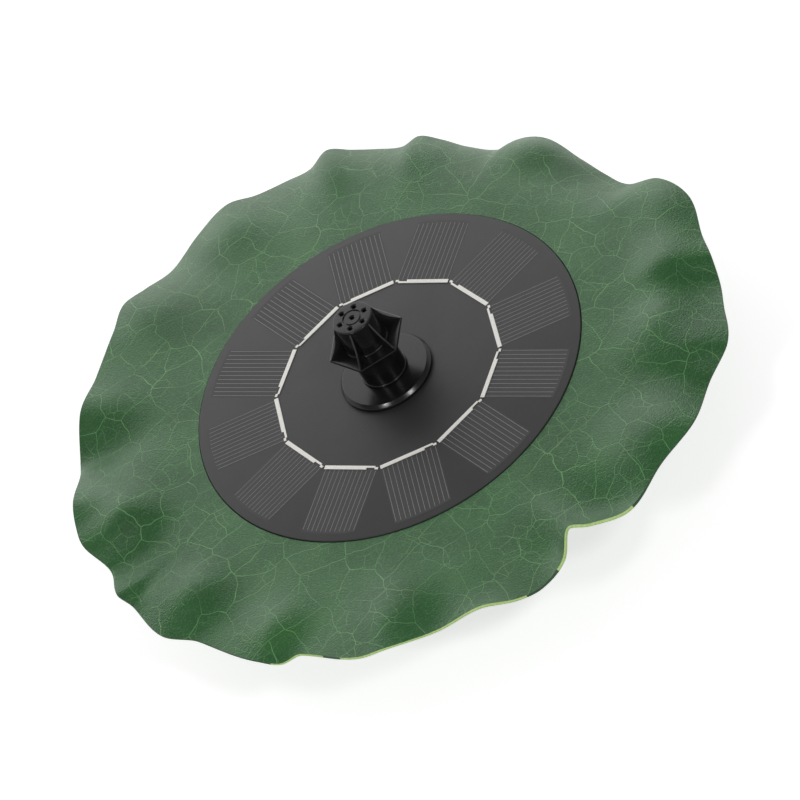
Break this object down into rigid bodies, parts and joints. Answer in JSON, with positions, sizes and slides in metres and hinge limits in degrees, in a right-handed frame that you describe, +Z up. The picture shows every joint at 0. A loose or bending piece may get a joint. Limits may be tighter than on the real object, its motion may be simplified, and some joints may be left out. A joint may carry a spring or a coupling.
{
  "type": "floating solar fountain pump",
  "caption": "Floating fountain pump: a wavy leaf-shaped foam float carries a round solar panel, a drum pump with a pull-off strainer below, and a ribbed spray nozzle on a riser above.",
  "frame": {"origin": "centre of the strainer cover's flat bottom", "axes": "+Z up along the pump's axis, towards the spray nozzle; +X towards the pump's outlet duct and a corner of the ring of contact ribbons"},
  "size_m": [0.2685, 0.2742, 0.0751],
  "materials": {
    "leaf_foam": "satin",
    "float_foam": "matte",
    "sponge_foam": "matte",
    "panel_laminate": "satin",
    "cell_silicon": "satin",
    "ribbon_tin": "satin",
    "black_plastic": "satin",
    "rotor_plastic": "satin",
    "black_rubber": "matte",
    "magnet_ferrite": "satin",
    "shaft_ceramic": "gloss",
    "core_steel": "satin",
    "coil_copper": "satin",
    "driver_board_green": "satin",
    "potting_resin": "gloss",
    "screw_steel": "satin",
    "lead_positive_sleeve": "satin",
    "lead_negative_sleeve": "satin"
  },
  "bodies": {
    "pump": {"leaf": "leaf_foam", "float_ring": "float_foam", "panel_board": "panel_laminate", "solar_cell_01": "cell_silicon", "solar_cell_02": "cell_silicon", "solar_cell_03": "cell_silicon", "solar_cell_04": "cell_silicon", "solar_cell_05": "cell_silicon", "solar_cell_06": "cell_silicon", "solar_cell_07": "cell_silicon", "solar_cell_08": "cell_silicon", "solar_cell_09": "cell_silicon", "solar_cell_10": "cell_silicon", "solar_cell_11": "cell_silicon", "solar_cell_12": "cell_silicon", "bus_ribbon_01": "ribbon_tin", "bus_ribbon_02": "ribbon_tin", "bus_ribbon_03": "ribbon_tin", "bus_ribbon_04": "ribbon_tin", "bus_ribbon_05": "ribbon_tin", "bus_ribbon_06": "ribbon_tin", "bus_ribbon_07": "ribbon_tin", "bus_ribbon_08": "ribbon_tin", "bus_ribbon_09": "ribbon_tin", "bus_ribbon_10": "ribbon_tin", "bus_ribbon_11": "ribbon_tin", "bus_ribbon_12": "ribbon_tin", "pump_body": "black_plastic", "impeller_cover": "black_plastic", "pump_lid": "black_plastic", "lid_seal": "black_rubber", "lid_screw_1": "screw_steel", "lid_screw_2": "screw_steel", "lid_screw_3": "screw_steel", "lid_screw_4": "screw_steel", "rotor_shaft": "shaft_ceramic", "lower_shaft_cushion": "black_rubber", "upper_shaft_cushion": "black_rubber", "stator_core": "core_steel", "stator_coil_1": "coil_copper", "stator_coil_2": "coil_copper", "stator_coil_3": "coil_copper", "stator_coil_4": "coil_copper", "driver_board": "driver_board_green", "potting_ring": "potting_resin", "lead_positive": "lead_positive_sleeve", "lead_negative": "lead_negative_sleeve", "lead_grommet": "black_rubber", "riser_flange": "black_plastic", "flange_gasket": "black_rubber", "riser_o_ring": "black_rubber"},
    "rotor": {"impeller": "rotor_plastic", "rotor_magnet": "magnet_ferrite"},
    "riser": {"riser_pipe": "black_plastic"},
    "nozzle": {"nozzle_head": "black_plastic"},
    "strainer": {"strainer_cover": "black_plastic", "filter_sponge": "sponge_foam"}
  },
  "joints": [
    {"name": "rotor_spin", "type": "hinge", "parent": "pump", "child": "rotor", "pos_m": [0, 0, 0.02], "axis": [0, 0, 1], "continuous": true},
    {"name": "riser_turn", "type": "hinge", "parent": "pump", "child": "riser", "pos_m": [0, 0, 0.05], "axis": [0, 0, 1], "continuous": true},
    {"name": "head_pull", "type": "slide", "parent": "riser", "child": "nozzle", "axis": [0, 0, 1], "range_m": [0, 0.015]},
    {"name": "strainer_pull", "type": "slide", "parent": "pump", "child": "strainer", "axis": [0, 0, -1], "range_m": [0, 0.025]}
  ]
}
